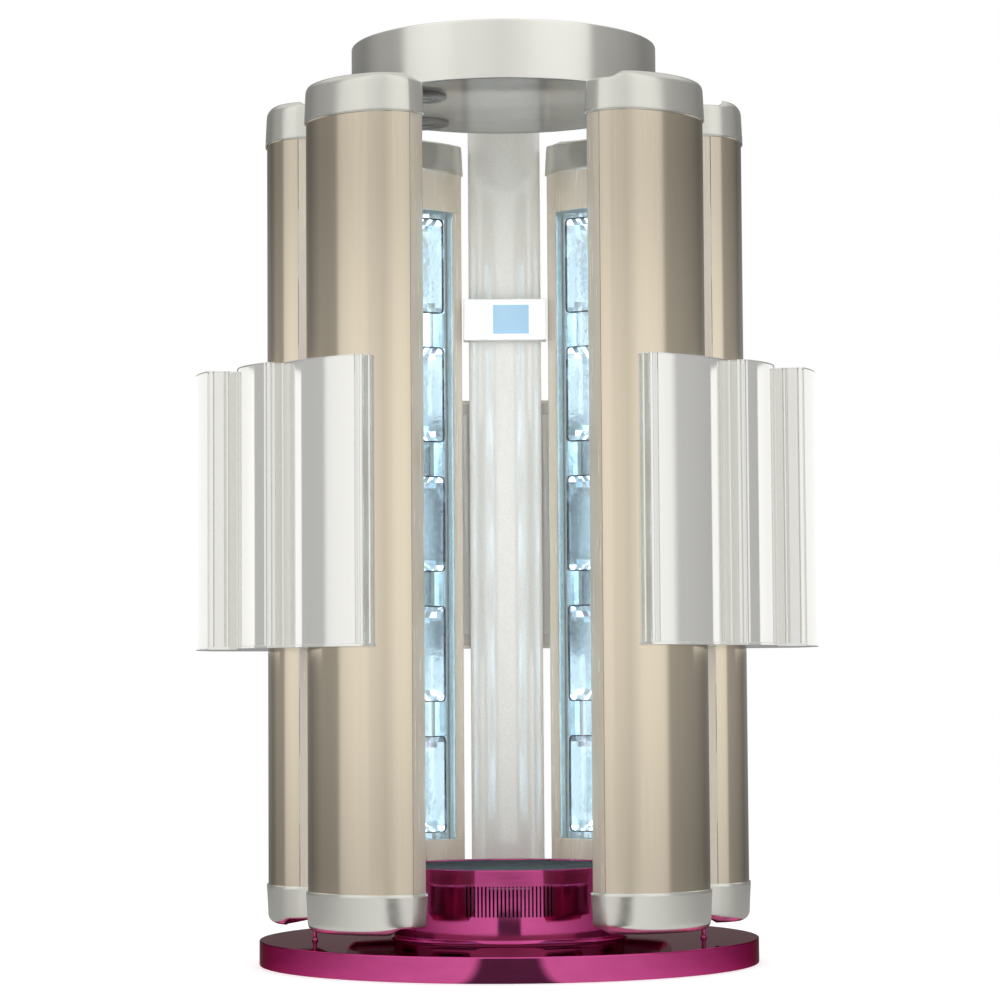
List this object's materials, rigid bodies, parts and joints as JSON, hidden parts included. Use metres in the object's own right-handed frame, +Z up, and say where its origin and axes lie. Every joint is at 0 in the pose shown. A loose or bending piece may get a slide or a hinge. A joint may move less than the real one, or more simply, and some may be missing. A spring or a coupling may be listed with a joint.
{
  "type": "vertical tanning booth",
  "caption": "Stand-up tanning booth: lamp columns in two swinging halves around a round pedestal, on a rear mast that also carries a disc canopy.",
  "frame": {"origin": "middle of the base's underside, on the floor", "axes": "+Z up, -Y towards the entrance, +X to the right of a person who looks in"},
  "size_m": [1.6242, 1.295, 2.392],
  "materials": {
    "magenta_chrome": "tinted mirror chrome",
    "champagne_alloy": "gloss anodised",
    "cap_silver": "satin silver paint",
    "bright_alloy": "polished",
    "satin_grey": "satin",
    "gloss_grey": "gloss",
    "white_plastic": "gloss",
    "blue_display": "gloss",
    "dark_tread": "semi-gloss",
    "dark_metal": "satin",
    "steel": "brushed",
    "mirror_sheet": "mirror",
    "lamp_quartz": "clear",
    "blue_glass": "clear"
  },
  "bodies": {
    "stand": {"base_disc": "magenta_chrome", "pedestal_drum": "magenta_chrome", "tread_plate": "dark_tread", "blower_motor": "dark_metal", "rear_mast": "satin_grey", "control_panel": "white_plastic", "display": "blue_display", "canopy_drum": "satin_grey", "canopy_soffit": "gloss_grey", "left_hinge_pin": "steel", "right_hinge_pin": "steel"},
    "left_half": {"left_front_shell": "champagne_alloy", "left_front_lamp_frame": "champagne_alloy", "left_front_filter_glass": "blue_glass", "left_front_reflector": "mirror_sheet", "left_front_lamp_rail": "lamp_quartz", "left_front_top_cap": "cap_silver", "left_front_bottom_cap": "cap_silver", "left_middle_shell": "champagne_alloy", "left_middle_lamp_frame": "champagne_alloy", "left_middle_filter_glass": "blue_glass", "left_middle_reflector": "mirror_sheet", "left_middle_lamp_rail": "lamp_quartz", "left_middle_top_cap": "cap_silver", "left_middle_bottom_cap": "cap_silver", "left_rear_shell": "champagne_alloy", "left_rear_lamp_frame": "champagne_alloy", "left_rear_filter_glass": "blue_glass", "left_rear_reflector": "mirror_sheet", "left_rear_lamp_rail": "lamp_quartz", "left_rear_top_cap": "cap_silver", "left_rear_bottom_cap": "cap_silver", "left_waist_cover": "bright_alloy", "left_waist_frame": "dark_metal"},
    "right_half": {"right_front_shell": "champagne_alloy", "right_front_lamp_frame": "champagne_alloy", "right_front_filter_glass": "blue_glass", "right_front_reflector": "mirror_sheet", "right_front_lamp_rail": "lamp_quartz", "right_front_top_cap": "cap_silver", "right_front_bottom_cap": "cap_silver", "right_middle_shell": "champagne_alloy", "right_middle_lamp_frame": "champagne_alloy", "right_middle_filter_glass": "blue_glass", "right_middle_reflector": "mirror_sheet", "right_middle_lamp_rail": "lamp_quartz", "right_middle_top_cap": "cap_silver", "right_middle_bottom_cap": "cap_silver", "right_rear_shell": "champagne_alloy", "right_rear_lamp_frame": "champagne_alloy", "right_rear_filter_glass": "blue_glass", "right_rear_reflector": "mirror_sheet", "right_rear_lamp_rail": "lamp_quartz", "right_rear_top_cap": "cap_silver", "right_rear_bottom_cap": "cap_silver", "right_waist_cover": "bright_alloy", "right_waist_frame": "dark_metal"},
    "blower_wheel": {"blower_wheel": "steel"},
    "front_nozzle": {"front_nozzle": "gloss_grey"},
    "rear_nozzle": {"rear_nozzle": "gloss_grey"}
  },
  "joints": [
    {"name": "left_half_swing", "type": "hinge", "parent": "stand", "child": "left_half", "pos_m": [-0.1586, 0.60162, 1.1705], "axis": [0, 0, -1], "range_deg": [0, 40]},
    {"name": "right_half_swing", "type": "hinge", "parent": "stand", "child": "right_half", "pos_m": [0.1586, 0.60162, 1.1705], "axis": [0, 0, 1], "range_deg": [0, 40]},
    {"name": "blower_spin", "type": "hinge", "parent": "stand", "child": "blower_wheel", "pos_m": [0, 0, 0.16], "axis": [0, 0, 1], "continuous": true},
    {"name": "front_nozzle_turn", "type": "hinge", "parent": "stand", "child": "front_nozzle", "pos_m": [-0.222, -0.168, 2.242], "axis": [0, 0, 1], "range_deg": [-90, 90]},
    {"name": "rear_nozzle_turn", "type": "hinge", "parent": "stand", "child": "rear_nozzle", "pos_m": [-0.222, 0.212, 2.242], "axis": [0, 0, 1], "range_deg": [-90, 90]}
  ]
}
